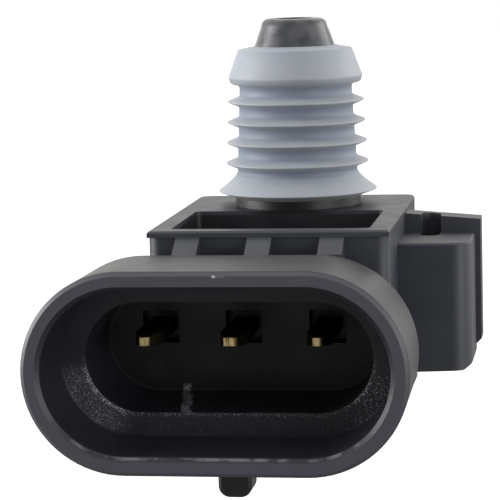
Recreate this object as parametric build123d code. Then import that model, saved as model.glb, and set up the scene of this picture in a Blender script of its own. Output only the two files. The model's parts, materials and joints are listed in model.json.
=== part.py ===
from build123d import *
import math
import os

# Fuel pressure sensor with a sealed push-in port and a three-blade plug socket
# Millimetres. +Z points out of the port, +Y from the plug mouth to the back of the body.
# The origin lies on the port axis, on the top face of the body.

# Body
body_width = 15.0
body_length = 18.95
body_height = 12.6
body_back = 4.7
body_corner = 0.8
wall = 1.3
top_plate_thickness = 0.4
top_plate_overhang = 0.15
top_edge_bevel = 0.12

# Recess in the top, between the plug and the port
recess_gap = 0.1
recess_floor = 1.38
recess_front_wall = 1.1
recess_corner = 0.4

# Stiffening ribs between the top plate and the plug collar
rib_width = 1.5
rib_pitch = 4.47
rib_count = 3
rib_offset = -0.46

# Plug shroud
socket_x = -2.0
shroud_drop = 0.65
mouth_to_port = 23.6
shroud_width = 22.9
shroud_height = 12.1
shroud_wall = 1.12
shroud_edge_bevel = 0.25
collar_length = 7.7
collar_draft = 0.12
neck_inset = 0.5
neck_length = 2.7
stem_inset = 0.9
stem_length = 4.2
bore_draft = 0.09
ledge_depth = 5.6
ledge_width = 1.42
socket_depth = 11.9
socket_draft = 0.15
mouth_chamfer = 0.25

# Latch nib under the shroud
nib_width = 2.05
nib_height = 2.6
nib_start = 5.6
nib_length = 2.1
nib_offset = 0.2
nib_corner = 0.7
nib_bevel = 0.2

# Terminals
pin_pitch = 5.3
pin_rise = 0.81
pin_reach = 5.5
blade_width = 1.5
blade_thickness = 0.8
tip_length = 1.2
middle_tip_width = 0.75
side_tip_width = 0.5
tip_thickness = 0.5
tail_margin = 1.5
tail_reach = 1.9
tail_width = 0.8
tail_length = 0.85
pin_recess_width = 2.3
pin_recess_height = 2.1
pin_recess_depth = 1.4

# Port tube and its nose
port_height = 12.4
tube_radius = 2.3
nose_radius = 2.68
nose_top_radius = 2.2
nose_length = 1.8
nose_round = 0.5
nose_steps = 3
passage_radius = 1.25
boss_radius = 4.2
boss_height = 0.55
inner_boss_radius = 3.5

# Port seal
skirt_radius = 5.3
skirt_lift = 0.28
skirt_edge = 0.1
flare_height = 1.5
core_radius = 3.65
core_draft = 0.3
seal_rib_reach = 0.78
seal_rib_count = 4
seal_rib_pitch = 1.37
first_rib_height = 2.27
seal_rib_root = 0.85
band_height = 2.5
band_radius = 4.47
band_top_radius = 3.85
band_shoulder = 0.45
band_crown = 0.25
band_lip = 0.15

# Fixing ear
ear_reach = 4.55
ear_front = 5.15
ear_length = 6.0
ear_top = 1.55
ear_height = 8.3
ear_corner = 1.2
ear_plate_thickness = 1.5
ear_plate_extra = 0.35
ear_plate_top = 0.2
ear_plate_height = 8.9
ear_taper = 0.5
ear_slot_width = 1.3
ear_slot_length = 3.1
ear_slot_depth = 3.0
ear_slot_offset = 1.7
ear_slot_cut = 0.8

# Electronics space, lid and circuit board
cavity_length = 11.6
pin_cover = 2.0
roof = 1.2
lid_thickness = 1.2
lid_ledge = 0.6
lid_gap = 0.05
sealant_width = 0.5
sealant_depth = 0.5
vent_radius = 0.5
membrane_radius = 1.5
membrane_thickness = 0.2
rail_width = 0.8
rail_height = 1.0
part_clearance = 0.3
lower_room = 1.75
board_thickness = 0.8
board_gap = 0.2
adhesive_thickness = 0.15
tail_hole_radius = 0.65
solder_radius = 0.9
solder_foot = 0.6
solder_height = 0.6

# Pressure cell
ring_radius = 2.9
ring_wall = 0.6
ring_height = 1.75
ring_adhesive_thickness = 0.3
die_size = 1.8
die_height = 0.9
die_adhesive_thickness = 0.1
gel_height = 1.35
wire_thickness = 0.08
wire_span = 0.75
wire_rise = 0.2
wire_pitch = 0.9

# Parts on the board
chip_length = 4.9
chip_width = 3.9
chip_height = 1.35
chip_standoff = 0.1
lead_count = 4
lead_pitch = 1.27
lead_width = 0.4
lead_reach = 1.0
lead_thickness = 0.2
capacitor_size = (1.6, 0.8, 0.8)
resistor_size = (1.6, 0.8, 0.45)
end_cap = 0.3
capacitor_count = 4
resistor_count = 3

# Places that follow from the sizes above
body_front = body_back - body_length
plate_front = body_front - top_plate_overhang
socket_z = -body_height - shroud_drop + shroud_height / 2
mouth_y = -mouth_to_port
collar_back = mouth_y + collar_length
neck_back = collar_back + neck_length
stem_back = neck_back + stem_length
socket_floor = mouth_y + socket_depth
inner_inset = shroud_wall + bore_draft + ledge_width
recess_front = plate_front + recess_front_wall
recess_back = -boss_radius - recess_gap
recess_bottom = socket_z + shroud_height / 2 - inner_inset + recess_floor
pin_z = socket_z + pin_rise
body_side = body_width / 2
cavity_side = body_side - wall
cavity_y = (body_back - wall - cavity_length, body_back - wall)
front_ceiling = pin_z + blade_thickness / 2 + pin_cover
rear_ceiling = -roof
rear_start = recess_back + roof
lid_inner = -body_height + lid_thickness
board_bottom = lid_inner + lower_room
board_top = board_bottom + board_thickness
rail_bottom = board_top + adhesive_thickness
ring_top = board_top + ring_height
inner_boss_end = ring_top + ring_adhesive_thickness
tail_y = cavity_y[0] + tail_reach
tail_middle = tail_y - blade_thickness / 2
inner_pitch = cavity_side - rail_width - tail_margin
row_side = cavity_side - rail_width - part_clearance
seal_top = port_height - nose_length


def block(x_span, y_span, z_span):
    """Return a box between three pairs of limits."""
    spans = (x_span, y_span, z_span)
    middle = [(low + high) / 2 for low, high in spans]
    size = [abs(high - low) for low, high in spans]
    return Pos(*middle) * Box(*size)


def rounded_block(x_span, y_span, z_span, radius):
    """Return a box with its four upright edges rounded."""
    outline = RectangleRounded(x_span[1] - x_span[0], y_span[1] - y_span[0], radius)
    place = Pos((x_span[0] + x_span[1]) / 2, (y_span[0] + y_span[1]) / 2, z_span[0])
    return place * extrude(outline, z_span[1] - z_span[0])


def shroud_prism(front, back, inset, draft=0.0):
    """Return a solid with straight sides and round ends along the plug axis, its outline taken in by
    inset at the front and by inset and draft at the back."""
    plane = Plane(origin=(socket_x, front, socket_z), x_dir=(1, 0, 0), z_dir=(0, 1, 0))
    outline = plane * SlotOverall(shroud_width - 2 * inset, shroud_height - 2 * inset)
    angle = math.degrees(math.atan2(draft, back - front))
    return extrude(outline, back - front, taper=angle)


def side_profile(points, x_span):
    """Return a prism across the body from an outline of (y, z) points."""
    face = make_face(Plane.YZ * Polyline(*points, close=True))
    return Pos(x_span[0], 0, 0) * extrude(face, x_span[1] - x_span[0], dir=(1, 0, 0))


def front_profile(points, y_span):
    """Return a prism along the body from an outline of (x, z) points."""
    face = make_face(Plane.XZ * Polyline(*points, close=True))
    return Pos(0, y_span[0], 0) * extrude(face, y_span[1] - y_span[0], dir=(0, 1, 0))


def turned(points):
    """Return a solid turned about the port axis from an outline of (radius, z) points."""
    return revolve(make_face(Plane.XZ * Polyline(*points, close=True)), Axis.Z)


def upright_cylinder(radius, low, high, place=(0, 0)):
    """Return an upright cylinder between two heights."""
    return Pos(*place, (low + high) / 2) * Cylinder(radius, high - low)


def body_block():
    """Return the body with its overhanging top plate, before anything is cut."""
    lower = rounded_block((-body_side, body_side), (body_front, body_back),
                          (-body_height, -top_plate_thickness), body_corner)
    plate = block((-body_side, body_side), (plate_front, body_back), (-top_plate_thickness, 0))
    back_corners = plate.edges().filter_by(Axis.Z).group_by(Axis.Y)[-1]
    plate = fillet(back_corners, body_corner)
    plate = chamfer(plate.faces().sort_by(Axis.Z)[-1].edges(), top_edge_bevel)
    return lower + plate


def front_ribs():
    """Return the stiffening ribs that slope from the top plate to the collar's back edge."""
    collar_top = socket_z + shroud_height / 2 - collar_draft
    outline = [(body_front + wall, -top_plate_thickness), (plate_front, -top_plate_thickness),
               (collar_back, collar_top), (collar_back, socket_z), (body_front + wall, socket_z)]
    middle = (rib_count - 1) / 2
    ribs = []
    for index in range(rib_count):
        centre = rib_offset + (index - middle) * rib_pitch
        ribs.append(side_profile(outline, (centre - rib_width / 2, centre + rib_width / 2)))
    return ribs


def plug_shroud():
    """Return the solid outside of the shroud: drafted collar, narrower neck and stem."""
    collar = shroud_prism(mouth_y, collar_back, 0, collar_draft)
    collar = chamfer(collar.faces().sort_by(Axis.Y)[0].edges(), shroud_edge_bevel)
    neck_size = collar_draft + neck_inset
    neck = shroud_prism(collar_back - wall, neck_back, neck_size)
    stem = shroud_prism(neck_back - wall, stem_back, neck_size + stem_inset)
    return collar + neck + stem


def socket_hollow():
    """Return what is cut from the shroud: mouth chamfer, wide bore, ledge, inner socket and pin recesses."""
    bore_end = mouth_y + ledge_depth
    hollow = shroud_prism(mouth_y, bore_end, shroud_wall, bore_draft)
    hollow += shroud_prism(mouth_y, mouth_y + mouth_chamfer, shroud_wall - mouth_chamfer, mouth_chamfer)
    hollow += shroud_prism(bore_end - wall, socket_floor, inner_inset, socket_draft)
    for index in (-1, 0, 1):
        x = socket_x + index * pin_pitch
        hollow += block((x - pin_recess_width / 2, x + pin_recess_width / 2),
                        (socket_floor - wall / 2, socket_floor + pin_recess_depth),
                        (pin_z - pin_recess_height / 2, pin_z + pin_recess_height / 2))
    return hollow


def latch_nib():
    """Return the nib under the shroud, round at its foot and bevelled in front, that the plug's latch
    hooks behind."""
    under = socket_z - shroud_height / 2
    middle = socket_x + nib_offset
    front = mouth_y + nib_start
    nib = block((middle - nib_width / 2, middle + nib_width / 2), (front, front + nib_length),
                (under - nib_height, under + shroud_wall / 2))
    nib = fillet(nib.edges().filter_by(Axis.Y).group_by(Axis.Z)[0], nib_corner)
    return chamfer(nib.faces().sort_by(Axis.Y)[0].edges(), nib_bevel)


def port_tube():
    """Return the tube that carries the seal, with its base boss and its wider nose, round at the top."""
    points = [(0, -top_plate_thickness), (tube_radius, -top_plate_thickness), (tube_radius, seal_top),
              (nose_radius, seal_top)]
    for step in range(nose_steps + 1):
        angle = math.radians(90 * step / nose_steps)
        points.append((nose_top_radius - nose_round + nose_round * math.cos(angle),
                       port_height - nose_round + nose_round * math.sin(angle)))
    return turned(points + [(0, port_height)]) + upright_cylinder(boss_radius, 0, boss_height)


def fixing_ear():
    """Return the ear: a block with a rounded front corner, a taller plate behind it and a slot from above
    that runs from the block a little way into the plate."""
    front = body_front + ear_front
    side = body_side + ear_reach
    root = body_side - wall
    low = -ear_top - ear_height
    outline = [(root, -ear_top), (side, -ear_top), (side, low + ear_taper),
               (side - ear_taper, low + ear_taper / 3), (root, low)]
    ear = front_profile(outline, (front, front + ear_length))
    corner = ear.edges().filter_by(Axis.Z).sort_by(Axis.X)[-2:].sort_by(Axis.Y)[0]
    ear = fillet(corner, ear_corner)
    outer_edge = ear.faces().sort_by(Axis.Z)[-1].edges().filter_by(Axis.Y).sort_by(Axis.X)[-1]
    ear = chamfer(outer_edge, top_edge_bevel)
    plate_side = side + ear_plate_extra
    plate_low = -ear_plate_top - ear_plate_height
    outline = [(root, -ear_plate_top), (plate_side, -ear_plate_top - ear_taper),
               (plate_side, plate_low + ear_taper), (plate_side - ear_taper, plate_low), (root, plate_low)]
    back = front + ear_length
    plate = front_profile(outline, (back - ear_plate_thickness / 3, back + ear_plate_thickness))
    slot_place = Pos(body_side + ear_slot_offset, back + ear_slot_cut - ear_slot_length / 2,
                     -ear_top - ear_slot_depth)
    slot = slot_place * extrude(Rot(0, 0, 90) * SlotOverall(ear_slot_length, ear_slot_width),
                                ear_top + ear_slot_depth)
    return ear + plate - slot


def electronics_space():
    """Return what is cut from the body for the board: a stepped space open at the bottom."""
    lid_seat_side = cavity_side + lid_ledge
    lid_seat_y = (cavity_y[0] - lid_ledge, cavity_y[1] + lid_ledge)
    space = block((-cavity_side, cavity_side), cavity_y, (-body_height, front_ceiling))
    space += block((-cavity_side, cavity_side), (rear_start, cavity_y[1]), (front_ceiling, rear_ceiling))
    space += block((-lid_seat_side, lid_seat_side), lid_seat_y, (-body_height, lid_inner))
    rail = (cavity_side - rail_width, cavity_side)
    for sign in (-1, 1):
        x_span = tuple(sorted((sign * rail[0], sign * rail[1])))
        space -= block(x_span, cavity_y, (rail_bottom, rail_bottom + rail_height))
    return space


def housing(inserts):
    """Return the moulded housing, with the terminals' own space left open."""
    body = body_block() + plug_shroud() + latch_nib() + fixing_ear()
    for rib in front_ribs():
        body += rib
    body -= socket_hollow()
    body -= rounded_block((-cavity_side, cavity_side), (recess_front, recess_back), (recess_bottom, wall),
                          recess_corner)
    body -= electronics_space()
    body += port_tube()
    body += upright_cylinder(inner_boss_radius, inner_boss_end, rear_ceiling)
    body -= upright_cylinder(passage_radius, inner_boss_end - wall, port_height + wall)
    for insert in inserts:
        body -= insert
    return body


def core_at(height):
    """Return the radius of the seal's core, which widens from the band down to the skirt."""
    flare_top = boss_height + flare_height
    band_low = seal_top - band_height
    return core_radius + core_draft * (band_low - height) / (band_low - flare_top)


def port_seal():
    """Return the silicone seal: lifted skirt, drafted core with sharp ribs, and the tapered top band."""
    base = boss_height
    edge = base + skirt_lift
    flare_top = base + flare_height
    points = [(tube_radius, base), (boss_radius, base), (skirt_radius, edge),
              (skirt_radius, edge + skirt_edge), (core_at(flare_top), flare_top)]
    for index in range(seal_rib_count):
        middle = base + first_rib_height + index * seal_rib_pitch
        low, high = middle - seal_rib_root / 2, middle + seal_rib_root / 2
        points += [(core_at(low), low), (core_at(middle) + seal_rib_reach, middle), (core_at(high), high)]
    band_low = seal_top - band_height
    points += [(core_at(band_low - band_lip), band_low - band_lip), (band_radius - band_lip, band_low),
               (band_radius, band_low + band_shoulder), (band_top_radius, seal_top - band_crown),
               (nose_radius, seal_top), (tube_radius, seal_top)]
    return turned(points)


def terminal(index):
    """Return one blade: tapered tip, straight blade, jog to the inner pitch and a tail through the board."""
    outer_x = socket_x + index * pin_pitch
    inner_x = index * inner_pitch
    tip_y = socket_floor - pin_reach
    jog_start = socket_floor + pin_recess_depth
    jog_end = cavity_y[0] - blade_thickness / 2
    half = blade_width / 2
    tip_width = side_tip_width if index else middle_tip_width
    outline = [(outer_x - half, tip_y + tip_length), (outer_x - half, jog_start), (inner_x - half, jog_end),
               (inner_x - half, tail_y), (inner_x + half, tail_y), (inner_x + half, jog_end),
               (outer_x + half, jog_start), (outer_x + half, tip_y + tip_length)]
    strip = extrude(make_face(Polyline(*outline, close=True)), blade_thickness)
    strip = Pos(0, 0, pin_z - blade_thickness / 2) * strip
    tip_plane = Plane(origin=(outer_x, tip_y, pin_z), x_dir=(1, 0, 0), z_dir=(0, -1, 0))
    root_plane = Plane(origin=(outer_x, tip_y + tip_length, pin_z), x_dir=(1, 0, 0), z_dir=(0, -1, 0))
    tip = loft([tip_plane * Rectangle(tip_width, tip_thickness),
                root_plane * Rectangle(blade_width, blade_thickness)])
    leg = block((inner_x - half, inner_x + half), (tail_y - blade_thickness, tail_y),
                (board_top + adhesive_thickness, pin_z))
    tail = block((inner_x - tail_width / 2, inner_x + tail_width / 2), (tail_y - blade_thickness, tail_y),
                 (board_bottom - tail_length, pin_z))
    bend = (strip + leg).edges().filter_by(Axis.X).group_by(Axis.Y)[-1].sort_by(Axis.Z)[-1]
    return fillet(bend, blade_thickness * 0.6) + tip + tail


def lid():
    """Return the lid, with its stepped edge and its vent hole."""
    side = cavity_side + lid_ledge - lid_gap
    y_span = (cavity_y[0] - lid_ledge + lid_gap, cavity_y[1] + lid_ledge - lid_gap)
    step = -body_height + sealant_depth
    inner = block((-side, side), y_span, (step, lid_inner))
    inset = sealant_width
    outer_y = (y_span[0] + inset, y_span[1] - inset)
    outer = block((-side + inset, side - inset), outer_y, (-body_height, step))
    return inner + outer - upright_cylinder(vent_radius, -body_height, lid_inner, vent_place())


def vent_place():
    """Return the vent's place on the lid, near the front right corner."""
    return cavity_side / 2, cavity_y[0] + 2 * membrane_radius


def lid_sealant():
    """Return the bead that fills the groove round the lid."""
    side = cavity_side + lid_ledge
    y_span = (cavity_y[0] - lid_ledge, cavity_y[1] + lid_ledge)
    step = -body_height + sealant_depth
    inset = sealant_width + lid_gap
    outer = block((-side, side), y_span, (-body_height, step))
    inner_y = (y_span[0] + inset, y_span[1] - inset)
    return outer - block((-side + inset, side - inset), inner_y, (-body_height, step))


def vent_membrane():
    """Return the breathing disc over the vent, on the lid's inner face."""
    return upright_cylinder(membrane_radius, lid_inner, lid_inner + membrane_thickness, vent_place())


def circuit_board():
    """Return the board, with a hole for each terminal tail."""
    side = cavity_side - board_gap
    y_span = (cavity_y[0] + board_gap, cavity_y[1] - board_gap)
    board = block((-side, side), y_span, (board_bottom, board_top))
    for index in (-1, 0, 1):
        place = (index * inner_pitch, tail_middle)
        board -= upright_cylinder(tail_hole_radius, board_bottom, board_top, place)
    return board


def board_adhesive():
    """Return the two strips between the board and its rails."""
    high = cavity_side - board_gap
    low = cavity_side - rail_width
    y_span = (cavity_y[0] + board_gap, cavity_y[1] - board_gap)
    z_span = (board_top, board_top + adhesive_thickness)
    return [block((low, high), y_span, z_span), block((-high, -low), y_span, z_span)]


def cell_ring():
    """Return the dam ring round the pressure cell."""
    outer = upright_cylinder(ring_radius, board_top, ring_top)
    return outer - upright_cylinder(ring_radius - ring_wall, board_top, ring_top)


def ring_adhesive():
    """Return the seal between the dam ring and the port's inner end."""
    outer = upright_cylinder(ring_radius, ring_top, inner_boss_end)
    return outer - upright_cylinder(ring_radius - ring_wall, ring_top, inner_boss_end)


def die_block(low, high):
    """Return a square block of the die's size on the port axis."""
    return block((-die_size / 2, die_size / 2), (-die_size / 2, die_size / 2), (low, high))


def die_adhesive():
    """Return the bond under the sensing die."""
    return die_block(board_top, board_top + die_adhesive_thickness)


def sensing_die():
    """Return the silicon die."""
    low = board_top + die_adhesive_thickness
    return die_block(low, low + die_height)


def bond_wires():
    """Return the fine wires from the die to the board, two on each side."""
    top = board_top + die_adhesive_thickness + die_height
    inner = die_size / 2 - 2 * wire_thickness
    outer = die_size / 2 + wire_span
    thick = wire_thickness
    crest = top + wire_rise
    arch = [(inner - thick, top), (inner - thick, crest), (outer, crest), (outer, board_top),
            (outer - thick, board_top), (outer - thick, crest - thick), (inner, crest - thick), (inner, top)]
    wires = []
    for sign in (-1, 1):
        for y in (-wire_pitch / 2, wire_pitch / 2):
            points = [(sign * x, z) for x, z in arch]
            wires.append(front_profile(points, (y - thick / 2, y + thick / 2)))
    return wires


def protective_gel():
    """Return the gel that fills the lower part of the ring, round the die and its wires."""
    gel = upright_cylinder(ring_radius - ring_wall, board_top, board_top + gel_height)
    gel -= die_adhesive()
    gel -= sensing_die()
    for wire in bond_wires():
        gel -= wire
    return gel


def chip_middle():
    """Return the middle of the signal chip under the board."""
    y = cavity_y[1] - board_gap - lead_reach - chip_width / 2
    return Vector(0, y, board_bottom - chip_standoff - chip_height / 2)


def signal_chip():
    """Return the moulded package of the signal chip, under the board."""
    package = Pos(chip_middle()) * Box(chip_length, chip_width, chip_height)
    return chamfer(package.edges().filter_by(Axis.X).group_by(Axis.Z)[0], lead_thickness)


def chip_leads():
    """Return the chip's bent leads, a row on each long side."""
    middle = chip_middle()
    leads = []
    for sign in (-1, 1):
        near = middle.Y + sign * chip_width / 2
        far = near + sign * lead_reach
        knee = near + sign * lead_reach / 2
        high = board_bottom
        bend = knee - sign * lead_thickness
        under, over = middle.Z, middle.Z + lead_thickness
        outline = [(near, under), (knee, under), (knee, high - lead_thickness), (far, high - lead_thickness),
                   (far, high), (bend, high), (bend, over), (near, over)]
        for index in range(lead_count):
            x = middle.X + (index - (lead_count - 1) / 2) * lead_pitch
            leads.append(side_profile(outline, (x - lead_width / 2, x + lead_width / 2)))
    return leads


def row_places(count, size, y, z):
    """Return the middles of a row of parts that fills the board's free width."""
    side = row_side - size[0] / 2
    return [Vector(side * (2 * index / (count - 1) - 1), y, z) for index in range(count)]


def capacitor_places():
    """Return the middles of the capacitors, on the upper face between the tails and the dam ring."""
    y = (tail_y - ring_radius) / 2
    return row_places(capacitor_count, capacitor_size, y, board_top + capacitor_size[2] / 2)


def resistor_places():
    """Return the middles of the resistors, on the lower face between the solder and the chip."""
    chip_front = chip_middle().Y - chip_width / 2 - lead_reach
    y = (tail_middle + solder_radius + chip_front) / 2
    return row_places(resistor_count, resistor_size, y, board_bottom - resistor_size[2] / 2)


def ceramic(place, size):
    """Return the ceramic middle of one capacitor or resistor."""
    return Pos(place) * Box(size[0] - 2 * end_cap, size[1], size[2])


def end_caps():
    """Return the tinned ends of the capacitors and resistors."""
    caps = []
    for places, size in ((capacitor_places(), capacitor_size), (resistor_places(), resistor_size)):
        shift = (size[0] - end_cap) / 2
        for place in places:
            for sign in (-1, 1):
                caps.append(Pos(place + Vector(sign * shift, 0, 0)) * Box(end_cap, size[1], size[2]))
    return caps


def solder_joints(tails):
    """Return the solder that fills each terminal hole and cones down round its tail."""
    joints = []
    for index, tail in zip((-1, 0, 1), tails):
        place = (index * inner_pitch, tail_middle)
        cone = Cone(solder_foot, solder_radius, solder_height)
        fill = upright_cylinder(tail_hole_radius, board_bottom, board_top, place)
        joints.append(fill + Pos(*place, board_bottom - solder_height / 2) * cone - tail)
    return joints


def as_shape(part):
    """Return one solid, or a group of separate solids, ready to be written."""
    if isinstance(part, list):
        return Compound(children=[solid for piece in part for solid in piece.solids()])
    solids = part.solids()
    if len(solids) == 1:
        return solids[0]
    return Compound(children=list(solids))


def build_nodes():
    """Return every node of the sensor by name."""
    blades = [terminal(index) for index in (-1, 0, 1)]
    nodes = {
        "housing": housing(blades),
        "lid": lid(),
        "lid_sealant": lid_sealant(),
        "vent_membrane": vent_membrane(),
        "port_seal": port_seal(),
        "terminal_left": blades[0],
        "terminal_middle": blades[1],
        "terminal_right": blades[2],
        "circuit_board": circuit_board(),
        "board_adhesive": board_adhesive(),
        "cell_ring": cell_ring(),
        "ring_adhesive": ring_adhesive(),
        "die_adhesive": die_adhesive(),
        "sensing_die": sensing_die(),
        "protective_gel": protective_gel(),
        "bond_wires": bond_wires(),
        "signal_chip": signal_chip(),
        "chip_leads": chip_leads(),
        "end_caps": end_caps(),
        "solder_joints": solder_joints(blades),
    }
    for number, place in enumerate(capacitor_places(), start=1):
        nodes[f"capacitor_{number}"] = ceramic(place, capacitor_size)
    for number, place in enumerate(resistor_places(), start=1):
        nodes[f"resistor_{number}"] = ceramic(place, resistor_size)
    return nodes


os.makedirs("parts", exist_ok=True)
for name, part in build_nodes().items():
    export_step(as_shape(part), os.path.join("parts", f"{name}.step"))
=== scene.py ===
"""Fuel pressure sensor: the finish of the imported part, its soft seal, its studio and its camera."""

import json
import logging
import math
from dataclasses import dataclass, field
from enum import Enum

import bpy
from mathutils import Matrix, Vector

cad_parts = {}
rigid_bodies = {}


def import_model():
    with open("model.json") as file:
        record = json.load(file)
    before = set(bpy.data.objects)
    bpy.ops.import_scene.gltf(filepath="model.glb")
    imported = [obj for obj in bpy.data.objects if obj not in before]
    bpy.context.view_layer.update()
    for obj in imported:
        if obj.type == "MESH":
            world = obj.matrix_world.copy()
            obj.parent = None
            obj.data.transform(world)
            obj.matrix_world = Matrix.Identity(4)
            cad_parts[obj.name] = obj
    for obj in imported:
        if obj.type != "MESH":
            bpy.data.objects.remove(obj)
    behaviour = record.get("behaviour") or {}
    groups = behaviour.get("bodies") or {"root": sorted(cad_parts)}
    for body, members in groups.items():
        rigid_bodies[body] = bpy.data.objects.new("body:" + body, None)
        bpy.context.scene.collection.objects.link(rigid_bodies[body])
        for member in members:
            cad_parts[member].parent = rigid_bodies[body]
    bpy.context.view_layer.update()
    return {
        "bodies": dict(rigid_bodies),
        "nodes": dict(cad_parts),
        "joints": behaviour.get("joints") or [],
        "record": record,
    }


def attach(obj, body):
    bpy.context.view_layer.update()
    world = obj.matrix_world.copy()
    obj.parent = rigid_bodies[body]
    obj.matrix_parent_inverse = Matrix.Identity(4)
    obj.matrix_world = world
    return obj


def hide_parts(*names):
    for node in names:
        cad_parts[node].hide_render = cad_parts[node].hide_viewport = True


log = logging.getLogger("fuel_pressure_sensor")

MM = 0.001
MERGE_DISTANCE = 0.001 * MM

Triple = tuple[float, float, float]
# How much of each plain colour shows, from 0 to 1, and the colour as hex, lowest layer first
Layers = list[tuple[bpy.types.NodeSocket, str]]
# Where a change starts and where it is complete
Span = tuple[float, float]
# Where a tone sets in, is full, starts to fade and is gone, in millimetres
Window = tuple[float, float, float, float]
# The size of one grain in millimetres, and the noise values where it sets in and is full
Specks = tuple[float, float, float]


def linear(code: str) -> tuple[float, float, float, float]:
    """Turn an sRGB hex colour into linear light.

    Args:
        code: Six hex digits with a leading hash.

    Returns:
        Red, green, blue and an alpha of 1, in linear light.
    """
    channels = [int(code[i : i + 2], 16) / 255 for i in (1, 3, 5)]
    bent = [c / 12.92 if c <= 0.04045 else ((c + 0.055) / 1.055) ** 2.4 for c in channels]
    return (*bent, 1.0)


def grain(size_mm: float) -> float:
    """Give the noise scale that makes spots of a real size.

    Args:
        size_mm: Size of one spot in millimetres.

    Returns:
        The scale for a texture node on coordinates in metres.
    """
    return 1000.0 / size_mm


def add_node(
    tree: bpy.types.NodeTree,
    kind: str,
    settings: dict[str | int, object] | None = None,
    links: dict[str | int, bpy.types.NodeSocket] | None = None,
) -> bpy.types.Node:
    """Add one node with its settings and its incoming links.

    Args:
        tree: The node tree.
        kind: Blender's name for the node type.
        settings: Node properties by name, or input values by socket name or number.
        links: Sockets to link in, by the name or number of the input.

    Returns:
        The new node.
    """
    node = tree.nodes.new(kind)
    for name, value in (settings or {}).items():
        if isinstance(name, str) and name not in node.inputs and hasattr(node, name):
            setattr(node, name, value)
        else:
            node.inputs[name].default_value = value
    for name, source in (links or {}).items():
        tree.links.new(source, node.inputs[name])
    return node


def layered(tree: bpy.types.NodeTree, colour: bpy.types.NodeSocket, layers: Layers) -> bpy.types.NodeSocket:
    """Lay plain colours over a colour, one after another.

    Args:
        tree: The material's node tree.
        colour: The colour under them.
        layers: How much of each plain colour shows, from 0 to 1, and the colour as hex.

    Returns:
        The blended colour.
    """
    for share, over in layers:
        settings: dict[str | int, object] = {"data_type": "RGBA", 7: linear(over)}
        colour = add_node(tree, "ShaderNodeMix", settings, {0: share, 6: colour}).outputs[2]
    return colour


def product(tree: bpy.types.NodeTree, shares: list[bpy.types.NodeSocket]) -> bpy.types.NodeSocket:
    """Multiply several shares into one.

    Args:
        tree: The material's node tree.
        shares: The shares, from 0 to 1.

    Returns:
        Their product.
    """
    result = shares[0]
    for share in shares[1:]:
        result = add_node(tree, "ShaderNodeMath", {"operation": "MULTIPLY"}, {0: result, 1: share}).outputs[0]
    return result


def axis_distance(tree: bpy.types.NodeTree, place: bpy.types.NodeSocket) -> bpy.types.NodeSocket:
    """Give each place's distance from the port's axis, in metres.

    Args:
        tree: The material's node tree.
        place: Object coordinates.

    Returns:
        The distance.
    """
    level = {"operation": "MULTIPLY", 1: (1.0, 1.0, 0.0)}
    flat = add_node(tree, "ShaderNodeVectorMath", level, {0: place}).outputs[0]
    return add_node(tree, "ShaderNodeVectorMath", {"operation": "LENGTH"}, {0: flat}).outputs["Value"]


class Pattern(Enum):
    """How the surface of a finish came about, which sets its pattern."""

    MOULDED = "moulded"
    ELASTIC = "elastic"
    STAMPED = "stamped"
    PLAIN = "plain"


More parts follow.
